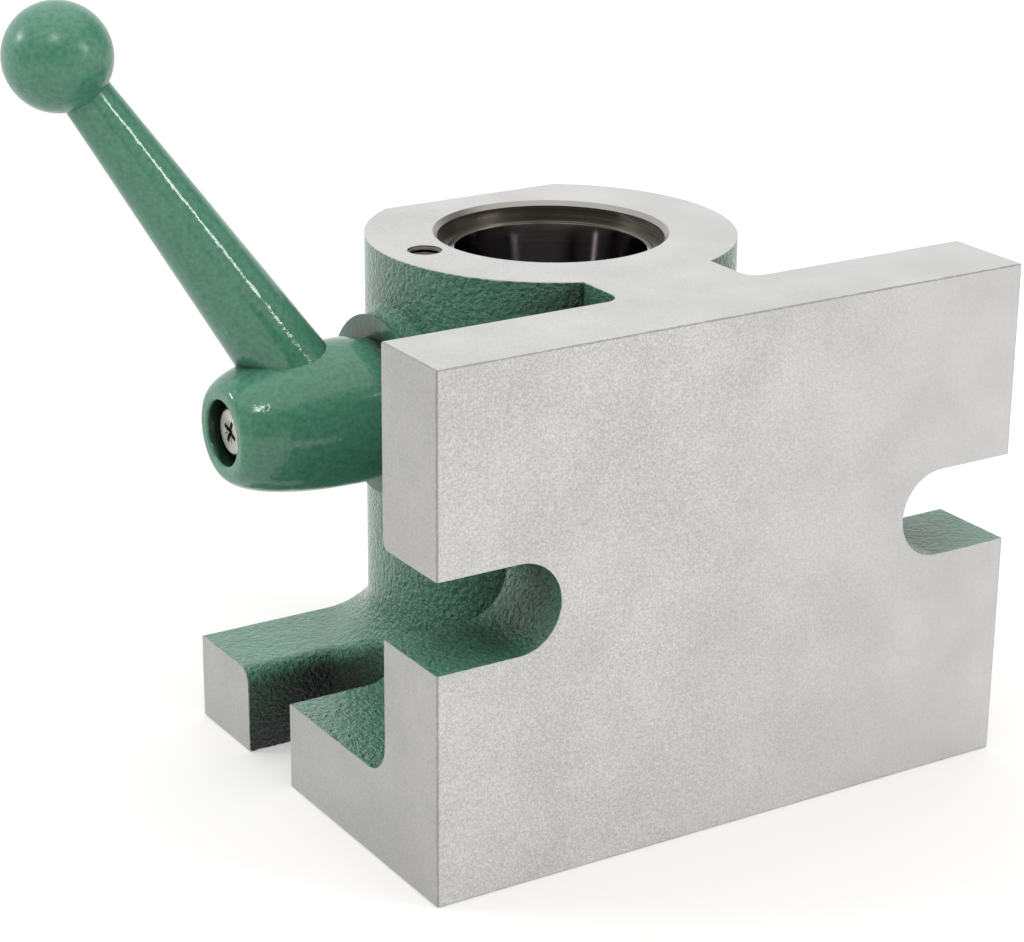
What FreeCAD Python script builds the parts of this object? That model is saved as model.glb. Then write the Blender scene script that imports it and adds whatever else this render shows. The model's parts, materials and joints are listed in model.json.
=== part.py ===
import FreeCAD
import Part
import math
import os

# Collet fixture: an upright casting that holds a 5C collet, closed by a ball lever.
# Millimetres. The origin is on the collet's axis in the base plane, +Z is up,
# -Y points to the front plate and -X to the lever.

Vector = FreeCAD.Vector
UP = Vector(0, 0, 1)
BACK = Vector(0, 1, 0)
RIGHT = Vector(1, 0, 0)

# Casting: plate, base flange and web
body_height = 100.0
plate_width = 127.0
plate_thickness = 18.5
axis_to_plate_face = 64.5
base_thickness = 17.5
axis_to_base_rear = 29.1
web_width = 28.2
web_fillet = 3.5
base_fillet = 6.5
plate_rim_round = 1.8
arm_rim_round = 3.0
machined_edge = 0.3

# Casting: bolt slots, open at the sides
plate_slot_width = 17.4
plate_slot_depth = 25.4
plate_slot_height = 53.5
base_slot_width = 17.8
base_slot_depth = 25.4

# Casting: barrel and lever boss
barrel_radius = 36.2
axis_to_rear_flat = 30.3
barrel_skirt = 9.0
boss_radius = 17.5
boss_reach = 39.3
boss_fillet = 2.6
top_to_cam = 29.0

# Bore from the top: recess, sleeve bore, collet guide, ring chamber
recess_radius = 22.1
recess_depth = 3.4
recess_chamfer = 0.9
collet_body_radius = 15.875
collet_play = 0.025
chamber_radius = 26.0
chamber_top = 34.0
chamber_edge = 0.8

# Closing sleeve
sleeve_radius = 20.0
sleeve_play = 0.03
sleeve_top_gap = 0.2
sleeve_bottom_gap = 3.4
sleeve_length = 47.0
sleeve_mouth_radius = 18.85
collet_taper_deg = 10.0
sleeve_edge = 0.4
sleeve_slot_depth = 2.8

# Lever movement, from rest, and the eccentric
lever_back_deg = 20.0
lever_forward_deg = 70.0
eccentric_throw = 1.5
eccentric_rest_deg = -25.0
eccentric_pin_radius = 3.0
eccentric_pin_play = 0.08
eccentric_pin_seat = 8.0
eccentric_pin_end_gap = 0.4

# Cam shaft and its bush
shaft_radius = 9.0
shaft_play = 0.03
shaft_end_gap = 0.6
shaft_edge = 0.5
bush_wall = 2.5
bush_length = 8.0
shaft_groove_depth = 2.0
shaft_groove_play = 0.25
stub_radius = 7.0
stub_play = 0.02

# Lever casting
hub_gap = 0.15
hub_nose_reach = 71.9
hub_nose_radius = 8.0
hub_radius = 14.1
hub_widest_reach = 46.7
hub_end_radius = 12.9
hub_recess_radius = 6.25
hub_floor = 3.0
hub_nose_round = 0.6
arm_root_reach = 50.4
arm_lean_deg = 31.25
arm_back_deg = 13.0
arm_length = 83.8
arm_root_radius = 8.9
arm_tip_radius = 4.3
ball_radius = 10.0

# Lever screw, split washer and key
screw_radius = 2.5
screw_play = 0.25
screw_length = 16.0
screw_head_radius = 4.65
screw_head_height = 3.3
screw_head_depth = 1.8
screw_head_round = 0.8
cross_length = 4.6
cross_width = 0.95
cross_depth = 1.8
cross_turn_deg = 25.0
cross_tick_length = 4.2
cross_tick_width = 0.3
cross_tick_depth = 0.2
split_washer_radius = 4.4
split_washer_thickness = 1.2
split_washer_gap = 1.0
key_width = 5.0
key_height = 5.0
key_length = 16.0
key_depth = 3.0
key_play = 0.02

# Set screws: all have one thread
set_screw_radius = 3.0
thread_play = 0.05
socket_flats = 3.0
socket_depth = 2.5
set_screw_edge = 0.5
top_hole_reach = 28.3
top_hole_edge = 0.35
dog_radius = 1.9
shaft_screw_length = 8.0
top_to_key_screw = 40.0
key_screw_length = 5.0
key_dog_radius = 1.55
key_dog_stand_off = 0.3
key_slot_play = 0.3
key_lock_length = 4.0
key_screw_gap = 0.3

# Adjusting ring with its washers, snap ring and lock
ring_play = 0.05
ring_height = 16.0
collet_thread_radius = 15.2
ring_edge = 0.8
ring_hole_count = 8
ring_hole_radius = 2.7
ring_hole_depth = 6.0
washer_thickness = 2.0
washer_bore_radius = 17.0
snap_ring_thickness = 1.8
snap_ring_width = 3.0
snap_groove_depth = 1.2
snap_ring_gap_deg = 42.0
snap_lug_radius = 2.6
snap_hole_radius = 1.1
window_width = 27.0
window_height = 12.0
window_corner = 3.0
ring_screw_length = 6.0
lock_pad_radius = 2.5
lock_pad_thickness = 2.0
lock_pad_gap = 0.1

# Places that follow from the sizes above
half_width = plate_width / 2
plate_rear = plate_thickness - axis_to_plate_face
cam_height = body_height - top_to_cam
key_screw_height = body_height - top_to_key_screw
recess_floor = body_height - recess_depth
sleeve_bore_radius = sleeve_radius + sleeve_play
collet_bore_radius = collet_body_radius + collet_play
sleeve_top = recess_floor - sleeve_top_gap
sleeve_bottom = sleeve_top - sleeve_length
guide_top = sleeve_bottom - sleeve_bottom_gap
rest_angle = math.radians(eccentric_rest_deg)
pin_y = eccentric_throw * math.cos(rest_angle)
pin_z = cam_height + eccentric_throw * math.sin(rest_angle)
slot_floor = sleeve_radius - sleeve_slot_depth
shaft_bore_radius = shaft_radius + shaft_play
shaft_inner = sleeve_bore_radius + shaft_end_gap
hub_end = boss_reach + hub_gap
washer_seat = hub_nose_reach - screw_head_depth - screw_head_height - split_washer_thickness
stub_end = washer_seat - hub_floor
top_hole_bottom = cam_height + shaft_bore_radius
lift_per_radian = eccentric_throw * (
    math.sin(rest_angle + math.radians(lever_forward_deg)) - math.sin(rest_angle)
) / math.radians(lever_forward_deg)
sleeve_rise = lift_per_radian * math.radians(lever_forward_deg)
sleeve_drop = lift_per_radian * math.radians(lever_back_deg)
ring_top = chamber_top - washer_thickness - ring_play
ring_bottom = ring_top - ring_height
ring_middle = ring_bottom + ring_height / 2
ring_radius = chamber_radius - ring_play
lower_washer_bottom = ring_bottom - ring_play - washer_thickness
snap_ring_bottom = lower_washer_bottom - snap_ring_thickness


def box(x, y, z):
    """A box from three pairs of limits."""
    size = [high - low for low, high in (x, y, z)]
    return Part.makeBox(size[0], size[1], size[2], Vector(x[0], y[0], z[0]))


def rod(radius, start, along, length):
    return Part.makeCylinder(radius, length, start, along)


def cone(start_radius, end_radius, start, along, length):
    return Part.makeCone(start_radius, end_radius, length, start, along)


def turned(points, about=UP):
    """A solid turned about +Z, or about -X, from corners given as (radius, distance along it)."""
    if about == UP:
        corners = [Vector(radius, 0, along) for radius, along in points]
        axis = UP
    else:
        corners = [Vector(-along, 0, radius) for radius, along in points]
        axis = RIGHT
    wire = Part.makePolygon(corners + corners[:1])
    return Part.Face(wire).revolve(Vector(0, 0, 0), axis, 360)


def at_cam(shape):
    """Moves a shape turned about the X axis up to the cam shaft's axis."""
    return shape.translated(Vector(0, 0, cam_height))


def edges_where(shape, test):
    return [edge for edge in shape.Edges if test(edge.CenterOfMass, edge)]


def near(a, b):
    return abs(a - b) < 0.01


def hexagon(flats, start, along, depth):
    """A hexagonal socket cutter."""
    corner = flats / math.sqrt(3)
    side = BACK if abs(along.z) > 0.5 else UP
    other = along.cross(side)
    points = []
    for step in range(6):
        angle = math.radians(60 * step)
        points.append(start + (side * math.cos(angle) + other * math.sin(angle)) * corner)
    return Part.Face(Part.makePolygon(points + points[:1])).extrude(along * depth)


def side_slot(side, width, depth, middle, along, reach):
    """A U slot that opens at one side of the casting, cut along Y or Z."""
    end = half_width - depth + width / 2
    half = width / 2
    near_x, far_x = sorted((side * end, side * (half_width + 1)))
    if along == UP:
        straight = box((near_x, far_x), (middle - half, middle + half), reach)
        round_end = rod(half, Vector(side * end, middle, reach[0]), UP, reach[1] - reach[0])
    else:
        straight = box((near_x, far_x), reach, (middle - half, middle + half))
        round_end = rod(half, Vector(side * end, reach[0], middle), BACK, reach[1] - reach[0])
    return straight.fuse(round_end)


def frame_casting():
    """Plate, base flange and web, with cast fillets in their inner corners."""
    plate = box((-half_width, half_width), (-axis_to_plate_face, plate_rear), (0, body_height))
    base = box((-half_width, half_width), (-axis_to_plate_face, axis_to_base_rear), (0, base_thickness))
    web = box((-web_width / 2, web_width / 2), (plate_rear - 1, 0), (0, body_height))
    shape = plate.fuse([base, web]).removeSplitter()

    def up_web(middle, edge):
        return near(middle.y, plate_rear) and near(abs(middle.x), web_width / 2)

    def around_base(middle, edge):
        """Where plate and web rise from the flange, with the bends between the two."""
        outer = near(abs(middle.x), half_width) or near(middle.y, axis_to_base_rear)
        return near(middle.z, base_thickness) and not outer

    def machined_corner(middle, edge):
        """An edge between two of the outer machined faces."""
        planes = [near(abs(middle.x), half_width), near(middle.y, -axis_to_plate_face),
                  near(middle.z, 0) or near(middle.z, body_height)]
        return sum(planes) == 2

    shape = shape.makeFillet(web_fillet, edges_where(shape, up_web))
    shape = shape.makeFillet(base_fillet, edges_where(shape, around_base))
    return shape.makeChamfer(machined_edge, edges_where(shape, machined_corner))


def barrel_casting():
    """Barrel with its rear flat, and the boss that carries the lever."""
    barrel = rod(barrel_radius, Vector(0, 0, 0), UP, body_height)
    boss = rod(boss_radius, Vector(-boss_reach, 0, cam_height), RIGHT, boss_reach)
    shape = barrel.fuse(boss).removeSplitter()

    def boss_root(middle, edge):
        """The curve where the boss leaves the barrel: the only one that bends in all three axes."""
        size = edge.BoundBox
        return middle.x < -barrel_radius / 2 and min(size.XLength, size.YLength, size.ZLength) > 1

    shape = shape.makeFillet(boss_fillet, edges_where(shape, boss_root))
    behind = box((-barrel_radius - 1, barrel_radius + 1),
                 (axis_to_rear_flat, barrel_radius + 1), (-1, body_height + 1))
    return shape.cut(behind)


def skirt_casting():
    """The cast fillet between the barrel and the top of the base flange."""
    outer = barrel_radius + barrel_skirt
    top = base_thickness + barrel_skirt
    profile = Part.Wire([
        Part.LineSegment(Vector(0, 0, base_thickness - 1), Vector(outer, 0, base_thickness - 1)).toShape(),
        Part.LineSegment(Vector(outer, 0, base_thickness - 1), Vector(outer, 0, base_thickness)).toShape(),
        Part.Arc(Vector(outer, 0, base_thickness),
                 Vector(outer - barrel_skirt * math.sin(math.pi / 4), 0,
                        top - barrel_skirt * math.cos(math.pi / 4)),
                 Vector(barrel_radius, 0, top)).toShape(),
        Part.LineSegment(Vector(barrel_radius, 0, top), Vector(0, 0, top)).toShape(),
        Part.LineSegment(Vector(0, 0, top), Vector(0, 0, base_thickness - 1)).toShape(),
    ])
    skirt = Part.Face(profile).revolve(Vector(0, 0, 0), UP, 360)
    return skirt.common(box((-half_width, half_width), (plate_rear - 1, axis_to_base_rear), (0, top + 1)))


def bore_cutter():
    """Everything turned out of the casting on the collet's axis."""
    return turned([
        (0, -1), (chamber_radius + chamber_edge + 1, -1),
        (chamber_radius, chamber_edge),
        (chamber_radius, chamber_top), (collet_bore_radius, chamber_top),
        (collet_bore_radius, guide_top), (sleeve_bore_radius, guide_top),
        (sleeve_bore_radius, recess_floor), (recess_radius, recess_floor),
        (recess_radius, body_height - recess_chamfer),
        (recess_radius + recess_chamfer, body_height),
        (recess_radius + recess_chamfer, body_height + 1), (0, body_height + 1),
    ])


def snap_groove():
    radius = chamber_radius + snap_groove_depth
    return rod(radius, Vector(0, 0, snap_ring_bottom), UP, snap_ring_thickness)


def rear_window():
    """Opening in the barrel's rear, where a tommy bar reaches the adjusting ring."""
    half = window_width / 2
    low = ring_middle - window_height / 2
    cutter = box((-half, half), (0, axis_to_rear_flat + 1), (low, low + window_height))
    corners = edges_where(cutter, lambda middle, edge: near(abs(middle.x), half) and not
                          near(middle.y, 0) and near(edge.BoundBox.XLength, 0) and
                          near(edge.BoundBox.ZLength, 0))
    return cutter.makeFillet(window_corner, corners)


def rounded_half(shape, rim, radius, half_space):
    """The shape with a slot's rim rounded, but only inside one half of space."""
    rounded = shape.makeFillet(radius, edges_where(shape, rim))
    return rounded.common(half_space).fuse(shape.cut(half_space)).removeSplitter()


def slotted_frame():
    """Frame and skirt with the four bolt slots and their cast rims."""
    shape = frame_casting().fuse(skirt_casting()).removeSplitter()
    base_cut_top = base_thickness + barrel_skirt + 1
    slot_wall = base_slot_width / 2
    upper_wall = plate_slot_height + plate_slot_width / 2
    for side in (-1, 1):
        shape = shape.cut(side_slot(side, base_slot_width, base_slot_depth, 0, UP, (-1, base_cut_top)))
        shape = shape.cut(side_slot(side, plate_slot_width, plate_slot_depth, plate_slot_height, BACK,
                                    (-axis_to_plate_face - 1, plate_rear + 1)))

    def rear_arm_rim(middle, edge):
        return near(middle.z, base_thickness) and near(middle.y, slot_wall) and edge.BoundBox.XLength > 1

    def upper_plate_rim(middle, edge):
        return near(middle.y, plate_rear) and near(middle.z, upper_wall) and edge.BoundBox.XLength > 1

    wide = (-half_width - 1, half_width + 1)
    rear_half = box(wide, (0, axis_to_base_rear + 1), (-1, body_height + 1))
    upper_half = box(wide, (-axis_to_plate_face - 1, axis_to_base_rear + 1),
                     (plate_slot_height, body_height + 1))
    shape = rounded_half(shape, rear_arm_rim, arm_rim_round, rear_half)
    return rounded_half(shape, upper_plate_rim, plate_rim_round, upper_half)


def body():
    """The casting with everything machined into it."""
    shape = slotted_frame().fuse(barrel_casting()).removeSplitter()
    shape = shape.cut([bore_cutter(), snap_groove(), rear_window()])
    boss_bore = rod(shaft_bore_radius, Vector(-boss_reach - 1, 0, cam_height), RIGHT, boss_reach + 1)
    bush_seat = rod(shaft_bore_radius + bush_wall, Vector(-boss_reach - 1, 0, cam_height), RIGHT,
                    bush_length + 1)
    top_hole = rod(set_screw_radius, Vector(-top_hole_reach, 0, cam_height), UP, body_height)
    hole_edge = cone(set_screw_radius, set_screw_radius + top_hole_edge + 1,
                     Vector(-top_hole_reach, 0, body_height - top_hole_edge), UP, top_hole_edge + 1)
    key_hole = rod(set_screw_radius, Vector(0, 0, key_screw_height), BACK, barrel_radius)
    lock_hole = rod(set_screw_radius, Vector(0, 0, ring_middle), RIGHT, barrel_radius + 1)
    return shape.cut([boss_bore, bush_seat, top_hole, hole_edge, key_hole, lock_hole])


def lever():
    """Hub, tapered arm and ball in one casting, bored and keyed for the shaft."""
    tail = hub_widest_reach - hub_end
    drop = hub_radius - hub_end_radius
    tail_radius = (tail * tail + drop * drop) / (2 * drop)
    tail_angle = math.asin(tail / tail_radius) / 2
    nose = Part.Ellipse(Vector(-hub_widest_reach, 0, hub_nose_radius),
                        hub_nose_reach - hub_widest_reach, hub_radius - hub_nose_radius)
    nose_arc = Part.ArcOfEllipse(nose, math.pi / 2, math.pi).toShape()
    # An ellipse is drawn in the XY plane: turn it up about its own centre, then its
    # minor axis points away from the hub's axis.
    nose_arc.rotate(Vector(-hub_widest_reach, 0, hub_nose_radius), RIGHT, 90)
    arc_middle = Vector(-hub_widest_reach + tail_radius * math.sin(tail_angle), 0,
                        hub_radius - tail_radius + tail_radius * math.cos(tail_angle))
    tail_arc = Part.Arc(Vector(-hub_widest_reach, 0, hub_radius), arc_middle,
                        Vector(-hub_end, 0, hub_end_radius)).toShape()
    lines = [
        Part.LineSegment(Vector(-hub_end, 0, hub_end_radius), Vector(-hub_end, 0, 0)).toShape(),
        Part.LineSegment(Vector(-hub_end, 0, 0), Vector(-hub_nose_reach, 0, 0)).toShape(),
        Part.LineSegment(Vector(-hub_nose_reach, 0, 0), Vector(-hub_nose_reach, 0, hub_nose_radius)).toShape(),
    ]
    outline = Part.Wire(Part.__sortEdges__([nose_arc, tail_arc] + lines))
    hub = at_cam(Part.Face(outline).revolve(Vector(0, 0, 0), RIGHT, 360))

    lean = math.radians(arm_lean_deg)
    back = math.radians(arm_back_deg)
    along = Vector(-math.sin(lean), math.cos(lean) * math.sin(back), math.cos(lean) * math.cos(back))
    root = Vector(-arm_root_reach, 0, cam_height)
    arm = cone(arm_root_radius, arm_tip_radius, root, along, arm_length)
    ball = Part.makeSphere(ball_radius, root + along * arm_length)
    shape = hub.fuse([arm, ball]).removeSplitter()

    stub_bore = rod(stub_radius + stub_play, Vector(-stub_end, 0, cam_height), RIGHT, stub_end)
    screw_hole = rod(screw_radius + screw_play, Vector(-washer_seat - 1, 0, cam_height), RIGHT, hub_floor + 2)
    nose_recess = rod(hub_recess_radius, Vector(-hub_nose_reach - 1, 0, cam_height), RIGHT,
                      hub_nose_reach + 1 - washer_seat)
    keyway = box((-stub_end, 0), (-key_width / 2 - key_play, key_width / 2 + key_play),
                 (cam_height, cam_height + stub_radius - key_depth + key_height + key_play))
    shape = shape.cut([stub_bore, screw_hole, nose_recess, keyway])

    def nose_rim(middle, edge):
        return near(middle.x, -hub_nose_reach)

    return shape.makeFillet(hub_nose_round, edges_where(shape, nose_rim))


def cam_shaft():
    """Stepped shaft, keyed to the lever, grooved for its set screw."""
    groove_half = dog_radius + shaft_groove_play
    groove_radius = shaft_radius - shaft_groove_depth
    shape = at_cam(turned([
        (0, shaft_inner), (shaft_radius - shaft_edge, shaft_inner),
        (shaft_radius, shaft_inner + shaft_edge),
        (shaft_radius, top_hole_reach - groove_half), (groove_radius, top_hole_reach - groove_half),
        (groove_radius, top_hole_reach + groove_half), (shaft_radius, top_hole_reach + groove_half),
        (shaft_radius, boss_reach), (stub_radius, boss_reach),
        (stub_radius, stub_end - shaft_edge), (stub_radius - shaft_edge, stub_end), (0, stub_end),
    ], RIGHT))
    pin_seat = rod(eccentric_pin_radius, Vector(-shaft_inner - eccentric_pin_seat, pin_y, pin_z), RIGHT,
                   eccentric_pin_seat + 1)
    screw_seat = rod(screw_radius, Vector(-stub_end - 1, 0, cam_height), RIGHT, screw_length)
    return shape.cut([pin_seat, screw_seat, lever_key()])


def lever_key():
    """Parallel key with round ends, half in the shaft and half in the hub."""
    middle = (stub_end + boss_reach) / 2
    half = key_length / 2 - key_width / 2
    low = cam_height + stub_radius - key_depth
    key = box((-middle - half, -middle + half), (-key_width / 2, key_width / 2), (low, low + key_height))
    ends = [rod(key_width / 2, Vector(-middle + side * half, 0, low), UP, key_height) for side in (-1, 1)]
    return key.fuse(ends).removeSplitter()


def eccentric_pin():
    length = shaft_inner + eccentric_pin_seat - slot_floor - eccentric_pin_end_gap
    pin = rod(eccentric_pin_radius, Vector(-shaft_inner - eccentric_pin_seat, pin_y, pin_z), RIGHT, length)
    inner_end = -slot_floor - eccentric_pin_end_gap
    return pin.makeChamfer(shaft_edge, edges_where(pin, lambda middle, edge: near(middle.x, inner_end)))


def shaft_bush():
    return at_cam(turned([
        (shaft_bore_radius, boss_reach - bush_length), (shaft_bore_radius, boss_reach),
        (shaft_bore_radius + bush_wall, boss_reach),
        (shaft_bore_radius + bush_wall, boss_reach - bush_length),
    ], RIGHT))


def closing_sleeve():
    """Sleeve with the collet's taper in its mouth, slotted for the pin and the key screw."""
    taper_depth = (sleeve_mouth_radius - collet_bore_radius) / math.tan(math.radians(collet_taper_deg))
    shape = turned([
        (collet_bore_radius, sleeve_bottom), (sleeve_radius - sleeve_edge, sleeve_bottom),
        (sleeve_radius, sleeve_bottom + sleeve_edge),
        (sleeve_radius, sleeve_top - sleeve_edge / 2), (sleeve_radius - sleeve_edge / 2, sleeve_top),
        (sleeve_mouth_radius, sleeve_top), (collet_bore_radius, sleeve_top - taper_depth),
    ])
    slot_half = eccentric_pin_radius + eccentric_pin_play
    cross_slot = box((-sleeve_radius - 1, -slot_floor), (-sleeve_radius, sleeve_radius),
                     (pin_z - slot_half, pin_z + slot_half))
    key_half = key_dog_radius + key_slot_play
    low = key_screw_height - sleeve_rise - key_slot_play
    high = key_screw_height + sleeve_drop + key_slot_play
    key_slot = box((-key_half, key_half), (0, sleeve_radius + 1), (low, high))
    ends = [rod(key_half, Vector(0, 0, height), BACK, sleeve_radius + 1) for height in (low, high)]
    return shape.cut([cross_slot, key_slot] + ends)


def set_screw(start, along, length, dog=0.0, dog_length=0.0):
    """Hex socket set screw: start is the centre of its socket end, along points into the hole."""
    radius = set_screw_radius - thread_play
    body_length = length - set_screw_edge
    shape = rod(radius, start, along, body_length)
    tip = cone(radius, radius - set_screw_edge, start + along * body_length, along, set_screw_edge)
    shape = shape.fuse(tip)
    if dog:
        shape = shape.fuse(rod(dog, start + along * (length - 0.1), along, dog_length + 0.1))
    return shape.cut(hexagon(socket_flats, start, along, socket_depth))


def shaft_set_screw():
    """Its dog runs in the shaft's groove and keeps the shaft in the boss."""
    groove_floor = cam_height + shaft_radius - shaft_groove_depth
    tip = groove_floor + shaft_groove_play
    shoulder = top_hole_bottom + shaft_groove_play
    start = Vector(-top_hole_reach, 0, shoulder + shaft_screw_length)
    return set_screw(start, -UP, shaft_screw_length, dog_radius, shoulder - tip)


def collet_key_screw():
    """Its dog enters a collet's keyway. It is modelled screwed back, clear of the bore."""
    shoulder = sleeve_bore_radius + key_screw_gap
    start = Vector(0, shoulder + key_screw_length, key_screw_height)
    reach = shoulder - (collet_bore_radius + key_dog_stand_off)
    return set_screw(start, -BACK, key_screw_length, key_dog_radius, reach)


def key_lock_screw():
    start = sleeve_bore_radius + key_screw_gap + key_screw_length + key_lock_length
    return set_screw(Vector(0, start, key_screw_height), -BACK, key_lock_length)


def ring_lock_pad():
    start = chamber_radius - ring_play + lock_pad_gap
    return rod(lock_pad_radius, Vector(start, 0, ring_middle), RIGHT, lock_pad_thickness)


def ring_lock_screw():
    tip = chamber_radius - ring_play + lock_pad_gap + lock_pad_thickness
    return set_screw(Vector(tip + ring_screw_length, 0, ring_middle), -RIGHT, ring_screw_length)


def cross_recess(top):
    """Cutters for the cross in the screw's head, with four small ticks between its arms."""
    cutters = []
    for number in range(4):
        tick = number % 2 == 1
        half_length = (cross_tick_length if tick else cross_length) / 2
        half = (cross_tick_width if tick else cross_width) / 2
        depth = cross_tick_depth if tick else cross_depth
        arm = box((-top - 1, -top + depth), (-half, half), (-half_length, half_length))
        arm.rotate(Vector(0, 0, 0), RIGHT, cross_turn_deg + 45 * number)
        cutters.append(at_cam(arm))
    return cutters


def lever_screw():
    """Pan head screw with a cross recess."""
    seat = washer_seat + split_washer_thickness
    top = seat + screw_head_height
    shank_end = seat - screw_length
    head = rod(screw_head_radius, Vector(-top, 0, cam_height), RIGHT, screw_head_height)
    head = head.makeFillet(screw_head_round, edges_where(head, lambda middle, edge: near(middle.x, -top)))
    shank = rod(screw_radius - thread_play, Vector(-seat - 0.1, 0, cam_height), RIGHT, seat + 0.1 - shank_end)
    return head.fuse(shank).cut(cross_recess(top))


def lever_spring_washer():
    low = screw_radius + screw_play
    washer = at_cam(turned([
        (low, washer_seat), (split_washer_radius, washer_seat),
        (split_washer_radius, washer_seat + split_washer_thickness),
        (low, washer_seat + split_washer_thickness),
    ], RIGHT))
    half = split_washer_gap / 2
    return washer.cut(box((-washer_seat - split_washer_thickness - 1, -washer_seat + 1), (-half, half),
                          (cam_height, cam_height + split_washer_radius + 1)))


def adjusting_ring():
    """Ring nut for the collet's tail, with radial holes for a tommy bar."""
    bore = collet_thread_radius
    shape = turned([
        (bore + ring_edge, ring_bottom), (ring_radius - ring_edge, ring_bottom),
        (ring_radius, ring_bottom + ring_edge), (ring_radius, ring_top - ring_edge),
        (ring_radius - ring_edge, ring_top), (bore + ring_edge, ring_top),
        (bore, ring_top - ring_edge), (bore, ring_bottom + ring_edge),
    ])
    for number in range(ring_hole_count):
        angle = math.radians(90 + 360 * number / ring_hole_count)
        outward = Vector(math.cos(angle), math.sin(angle), 0)
        start = outward * (ring_radius - ring_hole_depth) + Vector(0, 0, ring_middle)
        shape = shape.cut(rod(ring_hole_radius, start, outward, ring_hole_depth + 1))
    return shape


def thrust_washer(low):
    return turned([
        (washer_bore_radius, low), (chamber_radius - ring_play, low),
        (chamber_radius - ring_play, low + washer_thickness), (washer_bore_radius, low + washer_thickness),
    ])


def retaining_ring():
    """Internal snap ring: an open ring with an eye at each end."""
    outer = chamber_radius + snap_groove_depth
    inner = outer - snap_ring_width
    low = Vector(0, 0, snap_ring_bottom)
    start_angle = 90 + snap_ring_gap_deg / 2
    ring = Part.makeCylinder(outer, snap_ring_thickness, low, UP, 360 - snap_ring_gap_deg)
    ring.rotate(Vector(0, 0, 0), UP, start_angle)
    shape = ring.cut(rod(inner, low - UP, UP, snap_ring_thickness + 2))
    eyes = []
    for side in (-1, 1):
        angle = math.radians(90 + side * (snap_ring_gap_deg / 2 + math.degrees(snap_lug_radius / inner)))
        centre = Vector(math.cos(angle), math.sin(angle), 0) * (inner - snap_lug_radius / 3) + low
        shape = shape.fuse(rod(snap_lug_radius, centre, UP, snap_ring_thickness))
        eyes.append(rod(snap_hole_radius, centre - UP, UP, snap_ring_thickness + 2))
    return shape.removeSplitter().cut(eyes)


PIECES = {
    "body": body,
    "lever": lever,
    "cam_shaft": cam_shaft,
    "eccentric_pin": eccentric_pin,
    "shaft_bush": shaft_bush,
    "lever_key": lever_key,
    "lever_screw": lever_screw,
    "lever_spring_washer": lever_spring_washer,
    "shaft_set_screw": shaft_set_screw,
    "closing_sleeve": closing_sleeve,
    "collet_key_screw": collet_key_screw,
    "key_lock_screw": key_lock_screw,
    "adjusting_ring": adjusting_ring,
    "upper_thrust_washer": lambda: thrust_washer(chamber_top - washer_thickness),
    "lower_thrust_washer": lambda: thrust_washer(lower_washer_bottom),
    "retaining_ring": retaining_ring,
    "ring_lock_screw": ring_lock_screw,
    "ring_lock_pad": ring_lock_pad,
}

os.makedirs("parts", exist_ok=True)
for name, make in PIECES.items():
    solid = make()
    if len(solid.Solids) == 1:
        solid = solid.Solids[0]
    solid.exportStep("parts/" + name + ".step")
    print(name, "valid" if solid.isValid() else "INVALID", len(solid.Solids), "solid",
          round(solid.Volume / 1000, 3), "cm3")
print("sleeve rise, drop and metres per radian", round(sleeve_rise, 4), round(sleeve_drop, 4),
      round(lift_per_radian / 1000, 7))
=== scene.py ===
import json
import math

import bpy
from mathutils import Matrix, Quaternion, Vector


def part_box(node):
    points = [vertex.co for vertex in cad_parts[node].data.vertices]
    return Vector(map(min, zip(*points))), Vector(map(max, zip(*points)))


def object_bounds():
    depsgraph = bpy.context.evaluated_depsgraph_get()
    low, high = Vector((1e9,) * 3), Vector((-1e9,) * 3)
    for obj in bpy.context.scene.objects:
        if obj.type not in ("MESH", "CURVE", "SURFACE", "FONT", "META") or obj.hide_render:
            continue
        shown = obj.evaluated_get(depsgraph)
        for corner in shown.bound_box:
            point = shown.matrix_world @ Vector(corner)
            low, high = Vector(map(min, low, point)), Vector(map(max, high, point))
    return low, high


# Collet fixture: an iron casting, ground on its working faces and enamelled green elsewhere,
# with a ball lever that closes the collet. The scene is in metres, and the finishes are
# worked out in millimetres from the surface's place in the part's own frame.

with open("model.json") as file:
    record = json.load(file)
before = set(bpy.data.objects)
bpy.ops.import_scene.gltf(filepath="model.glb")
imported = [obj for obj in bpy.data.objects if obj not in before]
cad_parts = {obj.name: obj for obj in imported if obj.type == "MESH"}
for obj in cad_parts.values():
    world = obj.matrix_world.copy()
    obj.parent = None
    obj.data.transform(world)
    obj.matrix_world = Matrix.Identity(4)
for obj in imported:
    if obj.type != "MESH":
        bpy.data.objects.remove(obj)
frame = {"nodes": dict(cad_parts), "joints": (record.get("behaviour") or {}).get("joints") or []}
cad_low, cad_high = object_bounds()
nodes = frame["nodes"]

MM = 0.001


def corners(node):
    """A node's lowest and highest corners in millimetres."""
    low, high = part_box(node)
    return Vector(low) / MM, Vector(high) / MM


body_low, body_high = corners("body")
lever_low, lever_high = corners("lever")
sleeve_low, sleeve_high = corners("closing_sleeve")
key_low, key_high = corners("collet_key_screw")
shaft_screw_low, shaft_screw_high = corners("shaft_set_screw")
lock_low, lock_high = corners("ring_lock_screw")

# The adjusting ring is round about the Z axis
ring_radius = corners("adjusting_ring")[1].x

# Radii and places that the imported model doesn't give, in millimetres
RECESS_RADIUS = 23.0
RECESS_EDGE = 0.9
SCREW_HOLE_RADIUS = 3.35
HOLE_RIM = 0.15
THREAD_PITCH = 1.0
CHAMBER_MARGIN = 1.5
CORNER_CHAMFER = 0.42
PLATE_REAR = -46.0
HUB_RADIUS = 14.1
BALL_RADIUS = 10.0

# The axis that the lever swings about
lever_swing = next(joint for joint in frame["joints"] if joint["name"] == "lever_swing")
hub_axis = Vector(lever_swing["pos_m"]) / MM

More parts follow.
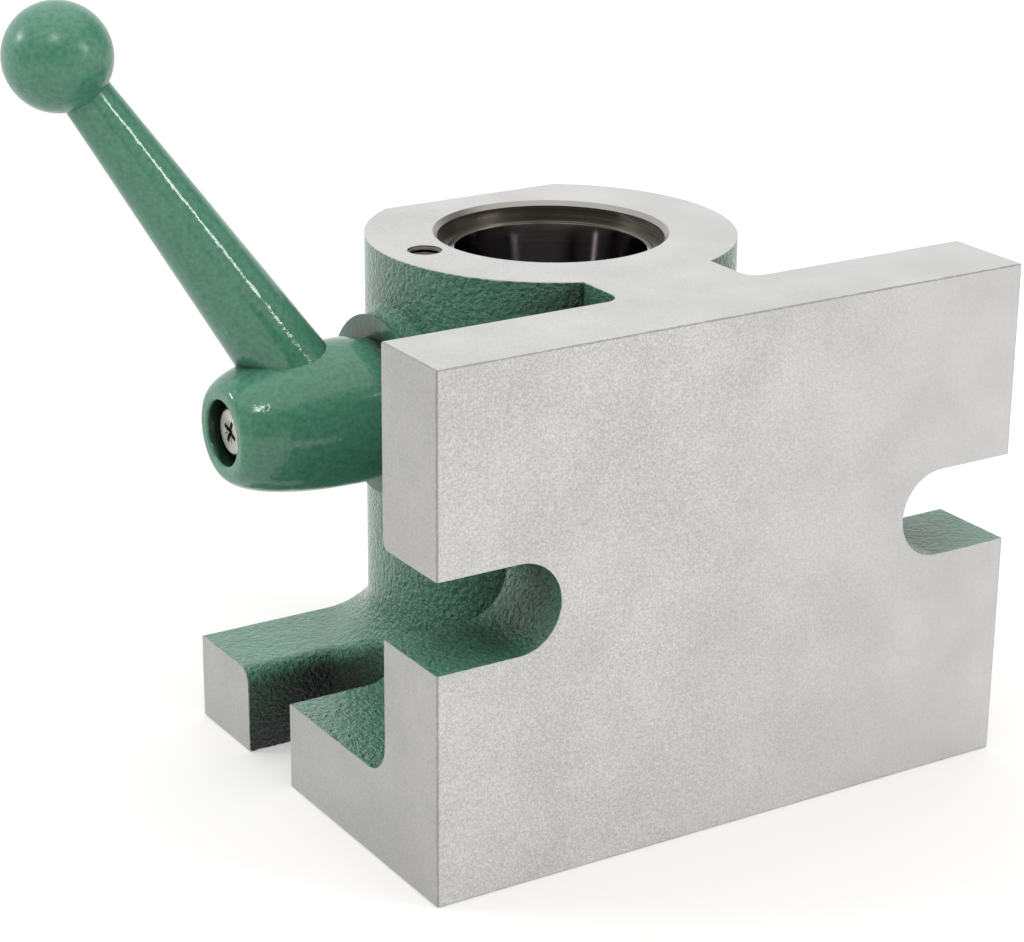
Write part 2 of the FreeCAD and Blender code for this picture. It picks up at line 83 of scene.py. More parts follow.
# The ball is the lever's highest, rearmost and leftmost part
ball_middle = Vector((lever_low.x + BALL_RADIUS, lever_high.y - BALL_RADIUS,
                      lever_high.z - BALL_RADIUS))

# Most values of a noise lie between the low and the high one
NOISE_LOW = 0.3
NOISE_MIDDLE = 0.5
NOISE_HIGH = 0.7


def linear(hex_colour):
    """An sRGB hex colour as linear red, green, blue and alpha."""
    channels = [int(hex_colour[i:i + 2], 16) / 255 for i in (0, 2, 4)]
    return [c / 12.92 if c <= 0.04045 else ((c + 0.055) / 1.055) ** 2.4 for c in channels] + [1.0]


def add(tree, kind, sockets=None, **settings):
    """Adds a node with its settings, and fills or links the sockets named."""
    node = tree.nodes.new("ShaderNode" + kind)
    for name, value in settings.items():
        setattr(node, name, value)
    for name, value in (sockets or {}).items():
        if isinstance(name, int):
            socket = node.inputs[name]
        else:
            socket = next(s for s in node.inputs if s.name == name and s.enabled)
        if isinstance(value, bpy.types.Node):
            value = next(s for s in value.outputs if s.enabled)
        if isinstance(value, bpy.types.NodeSocket):
            tree.links.new(value, socket)
        else:
            socket.default_value = value
    return node


def new_material(name):
    """An empty material and its node tree."""
    material = bpy.data.materials.new(name)
    material.use_nodes = True
    material.node_tree.nodes.clear()
    return material, material.node_tree


def millimetres(tree):
    """The surface point in the part's own frame, in millimetres."""
    place = add(tree, "TexCoord").outputs["Object"]
    return add(tree, "VectorMath", {0: place, "Scale": 1 / MM}, operation="SCALE")


def from_upright_axis(tree, place, x=0.0):
    """Distance from an upright line through the point x on the X axis."""
    moved = add(tree, "VectorMath", {0: place, 1: (-x, 0.0, 0.0)}, operation="ADD")
    level = add(tree, "VectorMath", {0: moved, 1: (1.0, 1.0, 0.0)}, operation="MULTIPLY")
    return add(tree, "VectorMath", {0: level}, operation="LENGTH").outputs["Value"]


def screw_hole(tree, place, low, high, outward):
    """1 in the round hole that a set screw lies in, from its inner end to the open, otherwise 0."""
    across = Vector((1.0, 1.0, 1.0)) - outward
    radius = (high - low).dot(across) / 4
    from_middle = add(tree, "VectorMath", {0: place, 1: (low + high) / 2}, operation="SUBTRACT")
    level = add(tree, "VectorMath", {0: from_middle, 1: across}, operation="MULTIPLY")
    from_axis = add(tree, "VectorMath", {0: level}, operation="LENGTH").outputs["Value"]
    depth = add(tree, "VectorMath", {0: place, 1: outward}, operation="DOT_PRODUCT").outputs["Value"]
    within = add(tree, "Math", {0: from_axis, 1: radius + HOLE_RIM}, operation="LESS_THAN")
    beyond_end = add(tree, "Math", {0: depth, 1: low.dot(outward)}, operation="GREATER_THAN")
    return add(tree, "Math", {0: within, 1: beyond_end}, operation="MULTIPLY")


# Gloss enamel. It lies thick over sand-cast iron, so the sand's grain shows as soft bumps that
# break up each highlight. Enamel's index of refraction is about 1.5.
ENAMEL_THICK = "407860"
ENAMEL_THIN = "58927B"
ENAMEL_IN_HOLLOWS = "35604B"
# The colour of the painted shade in slots and corners
ENAMEL_IN_PAINTED_SHADE = "14231C"
ENAMEL_IOR = 1.5
ENAMEL_ROUGHNESS = 0.07
HOLLOW_TINT = 0.5

# Widths of the enamel's bumps and blotches and heights of its bumps, in millimetres
SAND_GRAIN = 1.0
SAND_HEIGHT = 1.3
ORANGE_PEEL = 1.2
ORANGE_PEEL_HEIGHT = 0.019
CAST_WAVE = 9.0
CAST_WAVE_HEIGHT = 0.25
BLOTCH = 1.0

# Painted shade: the enamel is painted darker on a point that is open to less than the first share
# of the space within this reach, in millimetres, and is darkest below the second share
SHADE_REACH = 30.0
OPEN_UNSHADED = 0.79
OPEN_FULLY_SHADED = 0.41


def enamel(tree, place, sand, roughness=ENAMEL_ROUGHNESS):
    """Enamel over a casting. sand says how much of the sand's grain shows through."""
    grain = add(tree, "TexNoise", {"Vector": place, "Scale": 1 / SAND_GRAIN, "Detail": 3.0,
                                   "Roughness": 0.6})
    wave = add(tree, "TexNoise", {"Vector": place, "Scale": 1 / CAST_WAVE})
    peel = add(tree, "TexNoise", {"Vector": place, "Scale": 1 / ORANGE_PEEL, "Detail": 1.0})
    showing = add(tree, "Math", {0: grain, 1: sand}, operation="MULTIPLY")
    bump = add(tree, "Bump", {"Height": wave, "Distance": CAST_WAVE_HEIGHT * MM})
    bump = add(tree, "Bump", {"Height": showing, "Distance": SAND_HEIGHT * MM, "Normal": bump})
    bump = add(tree, "Bump", {"Height": peel, "Distance": ORANGE_PEEL_HEIGHT * MM, "Normal": bump})

    # The coat is thinner and lighter in blotches
    blotch = add(tree, "TexNoise", {"Vector": place, "Scale": 1 / BLOTCH, "Detail": 4.0,
                                    "Roughness": 0.65})
    thinness = add(tree, "MapRange", {"Value": blotch, "From Min": NOISE_LOW, "From Max": NOISE_HIGH})
    colour = add(tree, "Mix", {"Factor": thinness, "A": linear(ENAMEL_THICK), "B": linear(ENAMEL_THIN)},
                 data_type="RGBA")

    # It pools darker in the hollows between the sand's grains
    hollow = add(tree, "MapRange", {"Value": grain, "From Min": NOISE_MIDDLE, "From Max": NOISE_LOW})
    hollow = add(tree, "Math", {0: hollow, 1: sand}, operation="MULTIPLY")
    hollow = add(tree, "Math", {0: hollow, 1: HOLLOW_TINT}, operation="MULTIPLY")
    colour = add(tree, "Mix", {"Factor": hollow, "A": colour, "B": linear(ENAMEL_IN_HOLLOWS)},
                 data_type="RGBA")

    # Painted shade: the enamel is painted darker in slots and corners, where little of the space around
    # is open
    occlusion = add(tree, "AmbientOcclusion", {"Distance": SHADE_REACH * MM}, samples=8)
    painted_shade = add(tree, "MapRange", {"Value": occlusion.outputs["AO"], "From Min": OPEN_UNSHADED,
                                  "From Max": OPEN_FULLY_SHADED})
    colour = add(tree, "Mix", {"Factor": painted_shade, "A": colour, "B": linear(ENAMEL_IN_PAINTED_SHADE)},
                 data_type="RGBA")
    return add(tree, "BsdfPrincipled", {"Base Color": colour, "Roughness": roughness,
                                        "IOR": ENAMEL_IOR, "Normal": bump})


# Ground cast iron. Grinding leaves a grain of light and dark specks, where graphite flakes in
# the iron were torn out. The grain is drawn a little coarser than it is.
IRON_LIGHT = "E0E0E0"
IRON_DARK = "B0B0B0"
IRON_BROKEN_EDGE = "A3A3A1"
IRON_ROUGHNESS = 0.62
GRAPHITE_SPECK = 0.32
SPECK_CONTRAST = 2.1
SPECK_HEIGHT = 0.003
GRIND_CLOUD = 14.0
CLOUD_LOW = 0.25
CLOUD_HIGH = 0.75
CLOUD_DARK = 0.45
CLOUD_LIGHT = 0.7
# How much darker the end faces are painted, as painted shade
END_FACE_SHADE = 0.42

# How coarse the specks look, from 0 to 1: left of one X and right of another, in millimetres,
# and on all faces but the front as a share of that
COARSE_LEFT = 1.0
COARSE_RIGHT = 0.25
COARSE_LEFT_OF = -15.0
FINE_RIGHT_OF = 50.0
COARSE_OFF_FRONT = 0.45


def ground_iron(tree, place, axes, edge):
    """Ground cast iron, darker where edge says that a corner is broken."""
    # The plate's front was ground coarser than the other faces, and its left end coarsest
    coarse = add(tree, "MapRange", {"Value": axes.outputs["X"],
                                    "From Min": COARSE_LEFT_OF, "From Max": FINE_RIGHT_OF,
                                    "To Min": COARSE_LEFT, "To Max": COARSE_RIGHT})
    on_front = add(tree, "Math", {0: axes.outputs["Y"], 1: body_low.y + CORNER_CHAMFER},
                   operation="LESS_THAN")
    by_face = add(tree, "MapRange", {"Value": on_front, "To Min": COARSE_OFF_FRONT, "To Max": 1.0})
    coarse = add(tree, "Math", {0: coarse, 1: by_face}, operation="MULTIPLY")

    specks = add(tree, "TexNoise", {"Vector": place, "Scale": 1 / GRAPHITE_SPECK, "Roughness": 0.7})
    speck_tone = add(tree, "Math", {0: specks, 1: NOISE_MIDDLE}, operation="SUBTRACT")
    speck_tone = add(tree, "Math", {0: speck_tone, 1: coarse}, operation="MULTIPLY")
    speck_tone = add(tree, "Math", {0: speck_tone, 1: SPECK_CONTRAST}, operation="MULTIPLY")
    cloud = add(tree, "TexNoise", {"Vector": place, "Scale": 1 / GRIND_CLOUD, "Detail": 4.0})
    cloud_tone = add(tree, "MapRange", {"Value": cloud, "From Min": CLOUD_LOW, "From Max": CLOUD_HIGH,
                                        "To Min": CLOUD_DARK, "To Max": CLOUD_LIGHT})
    tone = add(tree, "Math", {0: speck_tone, 1: cloud_tone}, operation="ADD")

    # The end faces are painted a little darker, as painted shade
    across = add(tree, "Math", {0: axes.outputs["X"]}, operation="ABSOLUTE")
    on_end = add(tree, "Math", {0: across, 1: body_high.x - CORNER_CHAMFER}, operation="GREATER_THAN")
    darker = add(tree, "Math", {0: on_end, 1: END_FACE_SHADE}, operation="MULTIPLY")
    tone = add(tree, "Math", {0: tone, 1: darker}, operation="SUBTRACT")

    colour = add(tree, "Mix", {"Factor": tone, "A": linear(IRON_DARK), "B": linear(IRON_LIGHT)},
                 data_type="RGBA")
    colour = add(tree, "Mix", {"Factor": edge, "A": colour, "B": linear(IRON_BROKEN_EDGE)},
                 data_type="RGBA")
    bump = add(tree, "Bump", {"Height": specks, "Distance": SPECK_HEIGHT * MM})
    return add(tree, "BsdfPrincipled", {"Base Color": colour, "Metallic": 1.0,
                                        "Roughness": IRON_ROUGHNESS, "Normal": bump})


# Bored and drilled iron keeps an oily brown-grey skin, with fine rings from the tool. The
# recess's top edge is wiped clean and lighter, and the tapped hole is painted darker, as painted shade in
# its depth.
BORED_IRON = "8E887F"
BORED_IRON_DARK = "5F5A54"
BORED_EDGE = "989693"
BORED_ROUGHNESS = 0.33
TOOL_RING = 0.25
TOOL_RING_HEIGHT = 0.01
RING_DRIFT = 0.04
THREAD_HEIGHT = 0.22
TONE_IN_SHADED_THREAD = 0.2
EDGE_BLEND = 0.1


def bored_iron(tree, place, axes, thread):
    """Bored iron: rings round the bore, and thread flanks and painted shade where thread is 1."""
    height = axes.outputs["Z"]
    along = add(tree, "VectorMath", {0: place, 1: (RING_DRIFT, RING_DRIFT, 1 / TOOL_RING)},
                operation="MULTIPLY")
    rings = add(tree, "TexNoise", {"Vector": along, "Scale": 1.0, "Detail": 3.0})
    turn = add(tree, "Math", {0: height, 1: 2 * math.pi / THREAD_PITCH}, operation="MULTIPLY")
    flank = add(tree, "Math", {0: turn}, operation="SINE")
    flank = add(tree, "Math", {0: flank, 1: thread}, operation="MULTIPLY")
    bump = add(tree, "Bump", {"Height": rings, "Distance": TOOL_RING_HEIGHT * MM})
    bump = add(tree, "Bump", {"Height": flank, "Distance": THREAD_HEIGHT * MM, "Normal": bump})

    skin = add(tree, "MapRange", {"Value": rings, "From Min": NOISE_LOW, "From Max": NOISE_HIGH})
    # Painted shade: the tapped hole's tone is drawn towards the dark colour
    thread_shade_factor = add(tree, "MapRange", {"Value": thread, "To Min": 1.0, "To Max": TONE_IN_SHADED_THREAD})
    skin = add(tree, "Math", {0: skin, 1: thread_shade_factor}, operation="MULTIPLY")
    colour = add(tree, "Mix", {"Factor": skin, "A": linear(BORED_IRON_DARK), "B": linear(BORED_IRON)},
                 data_type="RGBA")

    edge_height = body_high.z - RECESS_EDGE
    near_top = add(tree, "MapRange", {"Value": height, "From Min": edge_height - EDGE_BLEND,
                                      "From Max": edge_height})
    unthreaded = add(tree, "Math", {0: 1.0, 1: thread}, operation="SUBTRACT")
    wiped = add(tree, "Math", {0: near_top, 1: unthreaded}, operation="MULTIPLY")
    colour = add(tree, "Mix", {"Factor": wiped, "A": colour, "B": linear(BORED_EDGE)}, data_type="RGBA")
    return add(tree, "BsdfPrincipled", {"Base Color": colour, "Metallic": 1.0,
                                        "Roughness": BORED_ROUGHNESS, "Normal": bump})


# How much of the sand's grain shows through the enamel, from 0 to 1
SAND_BY_PLATE = 1.0
SAND_AT_BASE_REAR = 0.35
SAND_LEFT_ON_WEB = 0.7
SAND_RIGHT_ON_WEB = 0.15
SAND_ON_BOSS = 0.05
SAND_ON_HUB = 0.05
SAND_ON_ARM = 0.02

# Where that changes, in millimetres: how far behind the plate, how far to each side on the web,
# and at which heights between the base's top and the web's
SANDY_TO = 30.0
SMOOTH_FROM = 45.0
WEB_SIDE = 10.0
OVER_BASE = 30.0
UNDER_WEB_TOP = 40.0

# The Z of a face's direction at which it starts to count as level, and is level
SLOPING = 0.75
LEVEL = 0.98

# The boss's end lies left of the hub's inner face and this margin, above one height and behind
# one place on the Y axis, in millimetres
BOSS_MARGIN = 0.8
BOSS_ABOVE = 50.0
BOSS_BEHIND = -40.0


def sand_amount(tree, axes):
    """How much of the sand's grain shows: less on level tops, where the paint flowed out."""
    x, y, z = axes.outputs
    on_base = add(tree, "MapRange", {"Value": y, "From Min": PLATE_REAR + SANDY_TO,
                                     "From Max": PLATE_REAR + SMOOTH_FROM,
                                     "To Min": SAND_BY_PLATE, "To Max": SAND_AT_BASE_REAR})
    on_web = add(tree, "MapRange", {"Value": x, "From Min": -WEB_SIDE, "From Max": WEB_SIDE,
                                    "To Min": SAND_LEFT_ON_WEB, "To Max": SAND_RIGHT_ON_WEB})
    high = add(tree, "MapRange", {"Value": z, "From Min": OVER_BASE, "From Max": UNDER_WEB_TOP})
    on_top = add(tree, "Mix", {"Factor": high, "A": on_base, "B": on_web}, data_type="FLOAT")
    normal = add(tree, "NewGeometry").outputs["Normal"]
    facing_up = add(tree, "SeparateXYZ", {0: normal}).outputs["Z"]
    level = add(tree, "MapRange", {"Value": facing_up, "From Min": SLOPING, "From Max": LEVEL})
    cast = add(tree, "Mix", {"Factor": level, "A": 1.0, "B": on_top}, data_type="FLOAT")

    # The boss was faced before it was painted, so its end is smooth
    on_boss = add(tree, "Math", {0: x, 1: lever_high.x + BOSS_MARGIN}, operation="LESS_THAN")
    for part, least in ((z, BOSS_ABOVE), (y, BOSS_BEHIND)):
        past = add(tree, "Math", {0: part, 1: least}, operation="GREATER_THAN")
        on_boss = add(tree, "Math", {0: on_boss, 1: past}, operation="MULTIPLY")
    return add(tree, "Mix", {"Factor": on_boss, "A": cast, "B": SAND_ON_BOSS}, data_type="FLOAT")


# The paint's ragged border along the ground faces, in millimetres: how wide its nicks are, how
# deep below the face it ends, and how far a corner between two faces is broken
NICK = 1.2
NICK_LEAST = 0.04
NICK_MOST = 0.3
BROKEN_LEAST = 0.2
BROKEN_MOST = 0.34
BROKEN_EDGE_TONE = 0.85

# Nearer to the top than this is the ground top face itself, not the wall of a hole
TOP_FACE = 0.02


def ground_faces(tree, place, axes):
    """Where the paint gives way to ground iron, and how dark a broken corner of it is."""
    x, y, z = axes.outputs

    # How deep the point lies below the side faces, the front face, and the top or the base
    across = add(tree, "Math", {0: x}, operation="ABSOLUTE")
    from_side = add(tree, "Math", {0: body_high.x, 1: across}, operation="SUBTRACT")
    from_front = add(tree, "Math", {0: y, 1: body_low.y}, operation="SUBTRACT")
    from_top = add(tree, "Math", {0: body_high.z, 1: z}, operation="SUBTRACT")
    from_end = add(tree, "Math", {0: from_top, 1: z}, operation="MINIMUM")

    # The least of the three depths, and the one next to it
    nearer = add(tree, "Math", {0: from_side, 1: from_front}, operation="MINIMUM")
    farther = add(tree, "Math", {0: from_side, 1: from_front}, operation="MAXIMUM")
    nearest = add(tree, "Math", {0: nearer, 1: from_end}, operation="MINIMUM")
    second = add(tree, "Math", {0: farther, 1: from_end}, operation="MINIMUM")
    second = add(tree, "Math", {0: nearer, 1: second}, operation="MAXIMUM")

    # The paint is chipped a little along each ground face, so its boundary is ragged
    ragged = add(tree, "TexNoise", {"Vector": place, "Scale": 1 / NICK, "Detail": 3.0})
    nick = add(tree, "MapRange", {"Value": ragged, "From Min": NOISE_LOW, "From Max": NOISE_HIGH,
                                  "To Min": NICK_LEAST, "To Max": NICK_MOST})
    ground = add(tree, "Math", {0: nearest, 1: nick}, operation="LESS_THAN")
    chamfer = add(tree, "Math", {0: second, 1: CORNER_CHAMFER}, operation="LESS_THAN")
    bare = add(tree, "Math", {0: ground, 1: chamfer}, operation="MAXIMUM")

    broken = add(tree, "MapRange", {"Value": ragged, "From Min": NOISE_LOW, "From Max": NOISE_HIGH,
                                    "To Min": BROKEN_LEAST, "To Max": BROKEN_MOST})
    broken_edge = add(tree, "Math", {0: second, 1: broken}, operation="LESS_THAN")
    edge_tone = add(tree, "Math", {0: broken_edge, 1: BROKEN_EDGE_TONE}, operation="MULTIPLY")
    return bare, edge_tone


def bored_faces(tree, place, z):
    """Where the iron is bored or drilled, and the tapped hole in the top by itself."""
    from_axis = from_upright_axis(tree, place)
    in_recess = add(tree, "Math", {0: from_axis, 1: RECESS_RADIUS}, operation="LESS_THAN")
    in_chamber = add(tree, "Math", {0: from_axis, 1: ring_radius + CHAMBER_MARGIN},
                     operation="LESS_THAN")
    below_sleeve = add(tree, "Math", {0: z, 1: sleeve_low.z}, operation="LESS_THAN")
    in_chamber = add(tree, "Math", {0: in_chamber, 1: below_sleeve}, operation="MULTIPLY")

    from_screw = from_upright_axis(tree, place, (shaft_screw_low.x + shaft_screw_high.x) / 2)
    top_hole = add(tree, "Math", {0: from_screw, 1: SCREW_HOLE_RADIUS}, operation="LESS_THAN")
    above_screw = add(tree, "Math", {0: z, 1: shaft_screw_low.z}, operation="GREATER_THAN")
    top_hole = add(tree, "Math", {0: top_hole, 1: above_screw}, operation="MULTIPLY")

    key_hole = screw_hole(tree, place, key_low, key_high, Vector((0.0, 1.0, 0.0)))
    lock_hole = screw_hole(tree, place, lock_low, lock_high, Vector((1.0, 0.0, 0.0)))
    bored = in_recess
    for hole in (in_chamber, top_hole, key_hole, lock_hole):
        bored = add(tree, "Math", {0: bored, 1: hole}, operation="MAXIMUM")
    from_top = add(tree, "Math", {0: body_high.z, 1: z}, operation="SUBTRACT")
    below_top = add(tree, "Math", {0: from_top, 1: TOP_FACE}, operation="GREATER_THAN")
    bored = add(tree, "Math", {0: bored, 1: below_top}, operation="MULTIPLY")
    return bored, top_hole


def casting_material():
    """The casting: enamel, with ground faces, bores and tapped holes."""
    material, tree = new_material("enamelled_cast_iron")
    place = millimetres(tree)
    axes = add(tree, "SeparateXYZ", {0: place})
    bare, edge_tone = ground_faces(tree, place, axes)
    bored, top_hole = bored_faces(tree, place, axes.outputs["Z"])
    paint = enamel(tree, place, sand_amount(tree, axes))
    iron = ground_iron(tree, place, axes, edge_tone)
    bore = bored_iron(tree, place, axes, top_hole)
    shader = add(tree, "MixShader", {0: bare, 1: paint, 2: iron})
    shader = add(tree, "MixShader", {0: bored, 1: shader, 2: bore})
    add(tree, "OutputMaterial", {"Surface": shader})
    return material


# Hands have rubbed the lever's ball dull. The gloss comes back over this length of the neck.
BALL_ROUGHNESS = 0.27
BALL_BLEND = 2.0

# The hub's grain fades out over this length at the arm's foot
ARM_BLEND = 6.0


def lever_material():
    """The lever's arm and ball were dressed smooth before painting. Some grain shows on the hub."""
    material, tree = new_material("green_enamel")
    place = millimetres(tree)
    height = add(tree, "SeparateXYZ", {0: place}).outputs["Z"]
    hub_top = hub_axis.z + HUB_RADIUS
    sand = add(tree, "MapRange", {"Value": height, "From Min": hub_top, "From Max": hub_top + ARM_BLEND,
                                  "To Min": SAND_ON_HUB, "To Max": SAND_ON_ARM})
    from_ball = add(tree, "VectorMath", {0: place, 1: ball_middle}, operation="DISTANCE").outputs["Value"]
    roughness = add(tree, "MapRange", {"Value": from_ball, "From Min": BALL_RADIUS,
                                       "From Max": BALL_RADIUS + BALL_BLEND,
                                       "To Min": BALL_ROUGHNESS, "To Max": ENAMEL_ROUGHNESS})
    add(tree, "OutputMaterial", {"Surface": enamel(tree, place, sand, roughness)})
    return material


# Tool rings round an upright axis and round the shaft: how fast they change along X, Y and Z
ROUND_UPRIGHT = (0.05, 0.05, 1.0)
ROUND_SHAFT = (1.0, 0.05, 0.05)

# The rings' height and the stains' width, in millimetres
TURNED_RING_HEIGHT = 0.006
STAIN = 3.0


def turned_metal(name, colour, dark, roughness, mark=0.3, rings=ROUND_UPRIGHT):
    """A turned metal with fine tool rings: rings gives their direction, mark their width."""
    material, tree = new_material(name)
    place = millimetres(tree)
    along = add(tree, "VectorMath", {0: place, 1: Vector(rings) / mark}, operation="MULTIPLY")
    ring = add(tree, "TexNoise", {"Vector": along, "Scale": 1.0, "Detail": 3.0})
    stain = add(tree, "TexNoise", {"Vector": place, "Scale": 1 / STAIN, "Detail": 4.0})
    clean = add(tree, "MapRange", {"Value": stain, "From Min": NOISE_LOW, "From Max": NOISE_HIGH})
    tint = add(tree, "Mix", {"Factor": clean, "A": linear(dark), "B": linear(colour)}, data_type="RGBA")
    bump = add(tree, "Bump", {"Height": ring, "Distance": TURNED_RING_HEIGHT * MM})
    shader = add(tree, "BsdfPrincipled", {"Base Color": tint, "Metallic": 1.0,
                                          "Roughness": roughness, "Normal": bump})
    add(tree, "OutputMaterial", {"Surface": shader})
    return material


# Hardened steel. The mouth is painted dark grey, as painted shade deep in the bore, and polishing
# left faint rings there. The end ring was ground bright.
MOUTH_SHADE_DARK = "5E5A5C"
MOUTH_SHADE_LIGHT = "6E6A6C"
END_RING_BRIGHT = "D8D9DB"
END_RING_DEPTH = 0.12
HARDENED_ROUGHNESS = 0.1
POLISH_RINGS = (0.03, 0.03, 6.0)
POLISH_HEIGHT = 0.004


def sleeve_material():
    """Hardened steel: polished in its mouth and painted dark there as shade, ground bright on its end
    ring.
    """
    material, tree = new_material("hardened_steel")
    place = millimetres(tree)
    along = add(tree, "VectorMath", {0: place, 1: POLISH_RINGS}, operation="MULTIPLY")
    rings = add(tree, "TexNoise", {"Vector": along, "Scale": 1.0, "Detail": 2.0})
    tone = add(tree, "MapRange", {"Value": rings, "From Min": NOISE_LOW, "From Max": NOISE_HIGH})
    # Painted shade: the mouth's colour is a dark grey between two tones
    colour = add(tree, "Mix", {"Factor": tone, "A": linear(MOUTH_SHADE_DARK), "B": linear(MOUTH_SHADE_LIGHT)},
                 data_type="RGBA")
    height = add(tree, "SeparateXYZ", {0: place}).outputs["Z"]
    end_ring = add(tree, "Math", {0: height, 1: sleeve_high.z - END_RING_DEPTH},
                   operation="GREATER_THAN")
    colour = add(tree, "Mix", {"Factor": end_ring, "A": colour, "B": linear(END_RING_BRIGHT)},
                 data_type="RGBA")
    bump = add(tree, "Bump", {"Height": rings, "Distance": POLISH_HEIGHT * MM})
    shader = add(tree, "BsdfPrincipled", {"Base Color": colour, "Metallic": 1.0,
                                          "Roughness": HARDENED_ROUGHNESS, "Normal": bump})
    add(tree, "OutputMaterial", {"Surface": shader})
    return material


def dress(node, material):
    """Gives a node of the frame its material."""
    piece = nodes[node]
    if not piece.material_slots:
        piece.data.materials.append(material)
    for slot in piece.material_slots:
        slot.material = material


dress("body", casting_material())
dress("lever", lever_material())
dress("closing_sleeve", sleeve_material())

# Turned steel, mid grey with fine rings
turned_steel = turned_metal("turned_steel", "A9A8A6", "8C8B89", roughness=0.3)

# Ground steel, lighter and glossier, with its rings round the shaft
ground_steel = turned_metal("ground_steel", "B2B1B0", "9A9998", roughness=0.22, rings=ROUND_SHAFT)

# Zinc plate over turned steel, a slightly yellow silver
zinc_plate = turned_metal("zinc_plated_steel", "C9C8BC", "9A9C92", roughness=0.3, mark=0.4,
                          rings=ROUND_SHAFT)

# Black oxide over turned steel, near black with a dull shine
black_oxide = turned_metal("black_oxide_steel", "3A3A3C", "242426", roughness=0.4)

# Phosphated spring steel, a dull dark grey
spring_steel = turned_metal("phosphated_spring_steel", "5A5A5B", "404041", roughness=0.5)

# Bronze and brass, turned and a little tarnished
bronze = turned_metal("turned_bronze", "B48C52", "94713E", roughness=0.3)
brass = turned_metal("turned_brass", "CDAA5C", "AE8E47", roughness=0.25)

for node, material in {
    "cam_shaft": ground_steel, "eccentric_pin": ground_steel,
    "lever_key": turned_steel, "adjusting_ring": turned_steel,
    "lever_screw": zinc_plate, "lever_spring_washer": zinc_plate,
    "shaft_set_screw": black_oxide, "collet_key_screw": black_oxide,
    "key_lock_screw": black_oxide, "ring_lock_screw": black_oxide,
    "retaining_ring": spring_steel, "shaft_bush": bronze, "upper_thrust_washer": bronze,
    "lower_thrust_washer": bronze, "ring_lock_pad": brass,
}.items():
    dress(node, material)

# The photograph's camera
CAMERA_PLACE = Vector((-283.28, -441.09, 242.79)) * MM
CAMERA_FORWARD = Vector((0.49632, 0.79663, -0.34503))
CAMERA_ROLL = math.radians(0.44)
CAMERA_LENS = 98.01

camera_data = bpy.data.cameras.new("camera")
camera_data.lens = CAMERA_LENS
camera_data.sensor_width = 36.0
camera_data.clip_start = 0.01
camera = bpy.data.objects.new("camera", camera_data)
bpy.context.scene.collection.objects.link(camera)
camera.location = CAMERA_PLACE
camera.rotation_mode = "QUATERNION"
camera.rotation_quaternion = CAMERA_FORWARD.to_track_quat("-Z", "Y") @ Quaternion((0, 0, 1), CAMERA_ROLL)
bpy.context.scene.camera = camera

LAMP_DISTANCE = 1.5


def softbox(name, azimuth, elevation, width, height, watts):
    """A soft lamp that faces the part. Azimuth 0 is the front, and 90 is the part's right."""
    lamp = bpy.data.lights.new(name, "AREA")
    lamp.shape = "RECTANGLE"
    lamp.size = width
    lamp.size_y = height
    lamp.energy = watts
    holder = bpy.data.objects.new(name, lamp)
    bpy.context.scene.collection.objects.link(holder)
    turn, rise = math.radians(azimuth), math.radians(elevation)
    out = Vector((math.sin(turn) * math.cos(rise), -math.cos(turn) * math.cos(rise), math.sin(rise)))
    holder.location = Vector((0, 0, body_high.z * MM / 2)) + out * LAMP_DISTANCE
    holder.rotation_mode = "QUATERNION"
    holder.rotation_quaternion = (-out).to_track_quat("-Z", "Y")


softbox("front_right", azimuth=36, elevation=24.5, width=0.19, height=0.28, watts=2.6)
softbox("front_left", azimuth=-33, elevation=50, width=0.3, height=0.12, watts=2.6)
softbox("left", azimuth=-122, elevation=29, width=0.3, height=0.22, watts=3.0)

# Pale floor. Some light of its own, seen by the camera and in reflections, brings it near to
# white, and it keeps the part's shadow.
FLOOR_SIDE = 12.0
FLOOR_COLOUR = "DBDADA"
FLOOR_GLOW = 0.27


def floor_material():
    """Matt paper that glows a little."""
    material, tree = new_material("pale_floor")
    rays = add(tree, "LightPath").outputs
    glow = add(tree, "Math", {0: rays["Is Camera Ray"], 1: rays["Is Glossy Ray"]}, operation="MAXIMUM")
    glow = add(tree, "Math", {0: glow, 1: FLOOR_GLOW}, operation="MULTIPLY")
    paper = add(tree, "BsdfDiffuse", {"Color": linear(FLOOR_COLOUR)})
    light = add(tree, "Emission", {"Color": linear("FFFFFF"), "Strength": glow})
    add(tree, "OutputMaterial", {"Surface": add(tree, "AddShader", {0: paper, 1: light})})
    return material


bpy.ops.mesh.primitive_plane_add(size=FLOOR_SIDE, location=(0, 0, cad_low.z))
floor = bpy.context.active_object
floor.name = "floor"
floor.data.materials.append(floor_material())

# How bright the studio is on each side, where 1 is white
BEHIND_LEVEL = 1.15
ABOVE_LEVEL = 1.4
RIGHT_LEVEL = 1.25
LEFT_LEVEL = 0.5
ELSEWHERE_LEVEL = 0.1
ROOM_WHITE = "FFFFFF"
FRONT_WHITE = "FFFBF6"


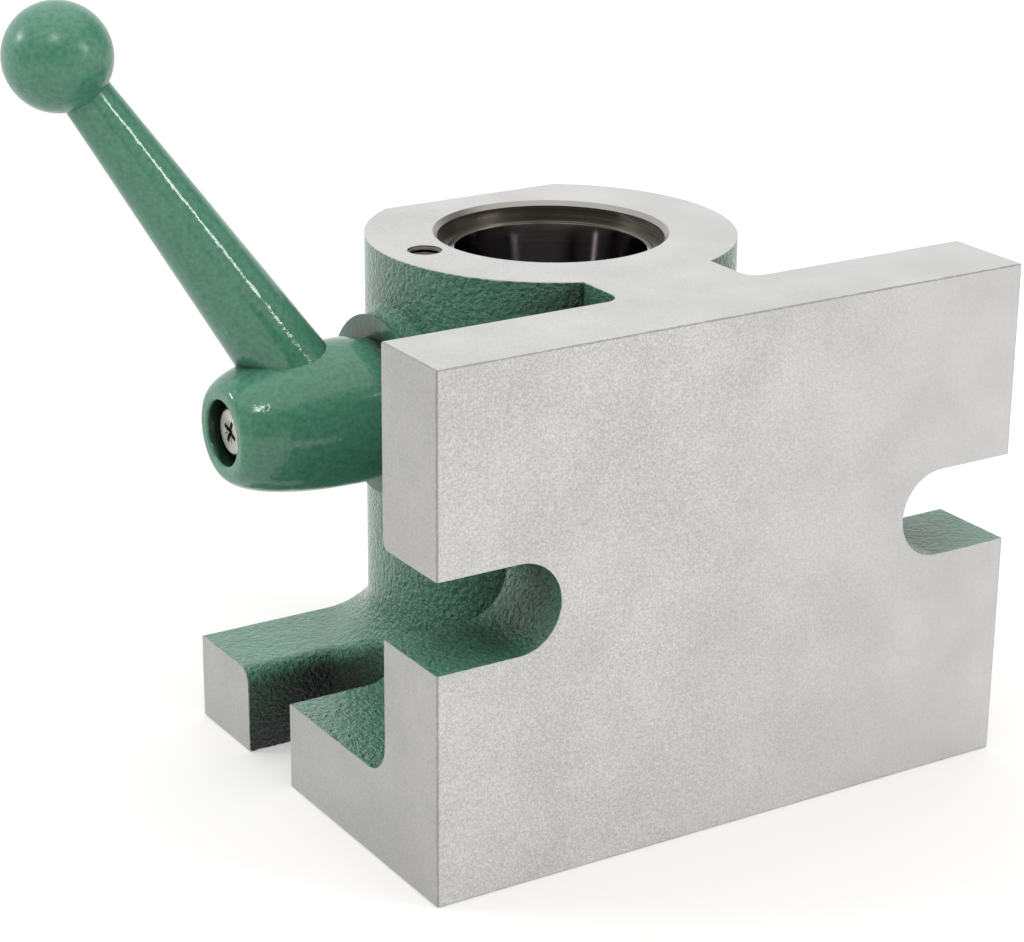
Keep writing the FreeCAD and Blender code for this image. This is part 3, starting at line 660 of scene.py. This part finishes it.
def studio():
    """Studio surroundings: bright behind the part, above it and at the front right."""
    world = bpy.data.worlds.new("studio")
    world.use_nodes = True
    tree = world.node_tree
    tree.nodes.clear()

    # Each part of a direction runs from -1 to 1, and each side fades out between two of its values
    toward = add(tree, "SeparateXYZ", {0: add(tree, "TexCoord").outputs["Generated"]})
    x, y, z = toward.outputs
    behind = add(tree, "MapRange", {"Value": y, "From Min": 0.0, "From Max": 0.6,
                                    "To Max": BEHIND_LEVEL})
    above = add(tree, "MapRange", {"Value": z, "From Min": 0.6, "From Max": 0.75,
                                   "To Max": ABOVE_LEVEL})
    on_left = add(tree, "MapRange", {"Value": x, "From Min": -0.2, "From Max": -0.7,
                                     "To Max": LEFT_LEVEL})
    on_right = add(tree, "MapRange", {"Value": x, "From Min": -0.3, "From Max": 0.2,
                                      "To Max": RIGHT_LEVEL})
    in_front = add(tree, "MapRange", {"Value": y, "From Min": 0.1, "From Max": -0.3})
    under_ceiling = add(tree, "MapRange", {"Value": z, "From Min": 0.65, "From Max": 0.5})
    low_down = add(tree, "MapRange", {"Value": z, "From Min": 0.32, "From Max": 0.08,
                                      "To Min": 0.55, "To Max": 1.0})
    low_down = add(tree, "Math", {0: under_ceiling, 1: low_down}, operation="MULTIPLY")
    on_right = add(tree, "Math", {0: on_right, 1: in_front}, operation="MULTIPLY")
    on_right = add(tree, "Math", {0: on_right, 1: low_down}, operation="MULTIPLY")
    level = behind
    for side in (above, on_right, on_left, ELSEWHERE_LEVEL):
        level = add(tree, "Math", {0: level, 1: side}, operation="MAXIMUM")

    # The camera sees plain white past the floor
    tint = add(tree, "Mix", {"Factor": in_front, "A": linear(ROOM_WHITE), "B": linear(FRONT_WHITE)},
               data_type="RGBA")
    room = add(tree, "Background", {"Color": tint, "Strength": level})
    white = add(tree, "Background", {"Color": linear(ROOM_WHITE), "Strength": 1.0})
    seen = add(tree, "LightPath").outputs["Is Camera Ray"]
    add(tree, "OutputWorld", {"Surface": add(tree, "MixShader", {0: seen, 1: room, 2: white})})
    return world


bpy.context.scene.world = studio()
bpy.context.scene.view_settings.view_transform = "Standard"
